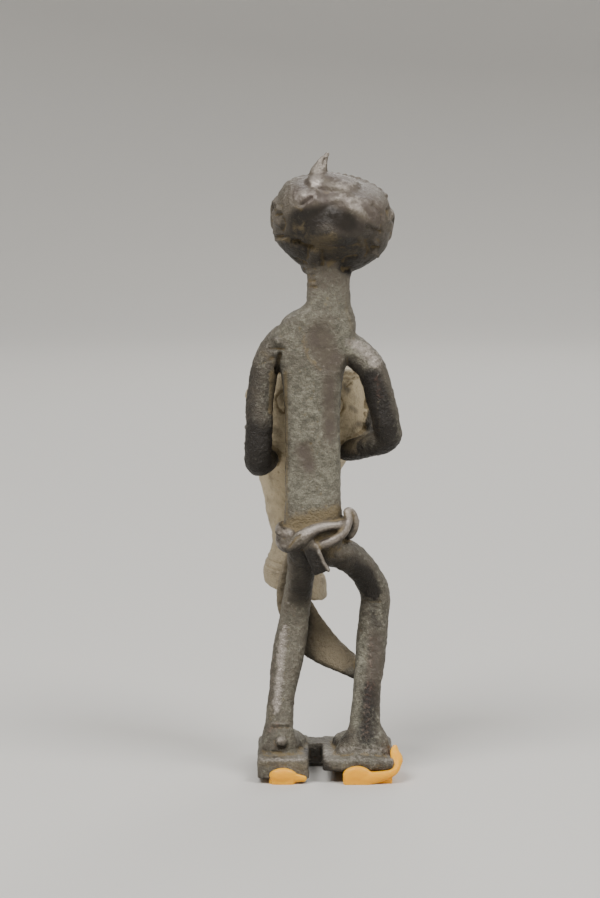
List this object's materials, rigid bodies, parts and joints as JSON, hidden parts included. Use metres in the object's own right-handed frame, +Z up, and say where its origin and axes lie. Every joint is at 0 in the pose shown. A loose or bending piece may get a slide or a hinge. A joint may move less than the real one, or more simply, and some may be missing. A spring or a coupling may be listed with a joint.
{
  "type": "goldweight figure",
  "caption": "Small cast brass standing figure that holds a footed drum, with a twisted belt, bent knees and foot plates set on dabs of mounting wax.",
  "frame": {"origin": "bottom centre of the part's box, on the surface that it stands on", "axes": "+Z up the figure, +Y the way the figure faces, +X towards the figure's right side"},
  "size_m": [0.017, 0.0212, 0.0681],
  "materials": {
    "cast_brass": "lost-wax cast brass with a worn grey-brown patina, rough skin and ochre earth in the creases",
    "mounting_wax": "orange mounting wax, soft and slightly glossy, pressed by hand"
  },
  "bodies": {
    "root": {"goldweight_figure": "cast_brass", "wax_pad_left": "mounting_wax", "wax_pad_right": "mounting_wax"}
  },
  "joints": []
}
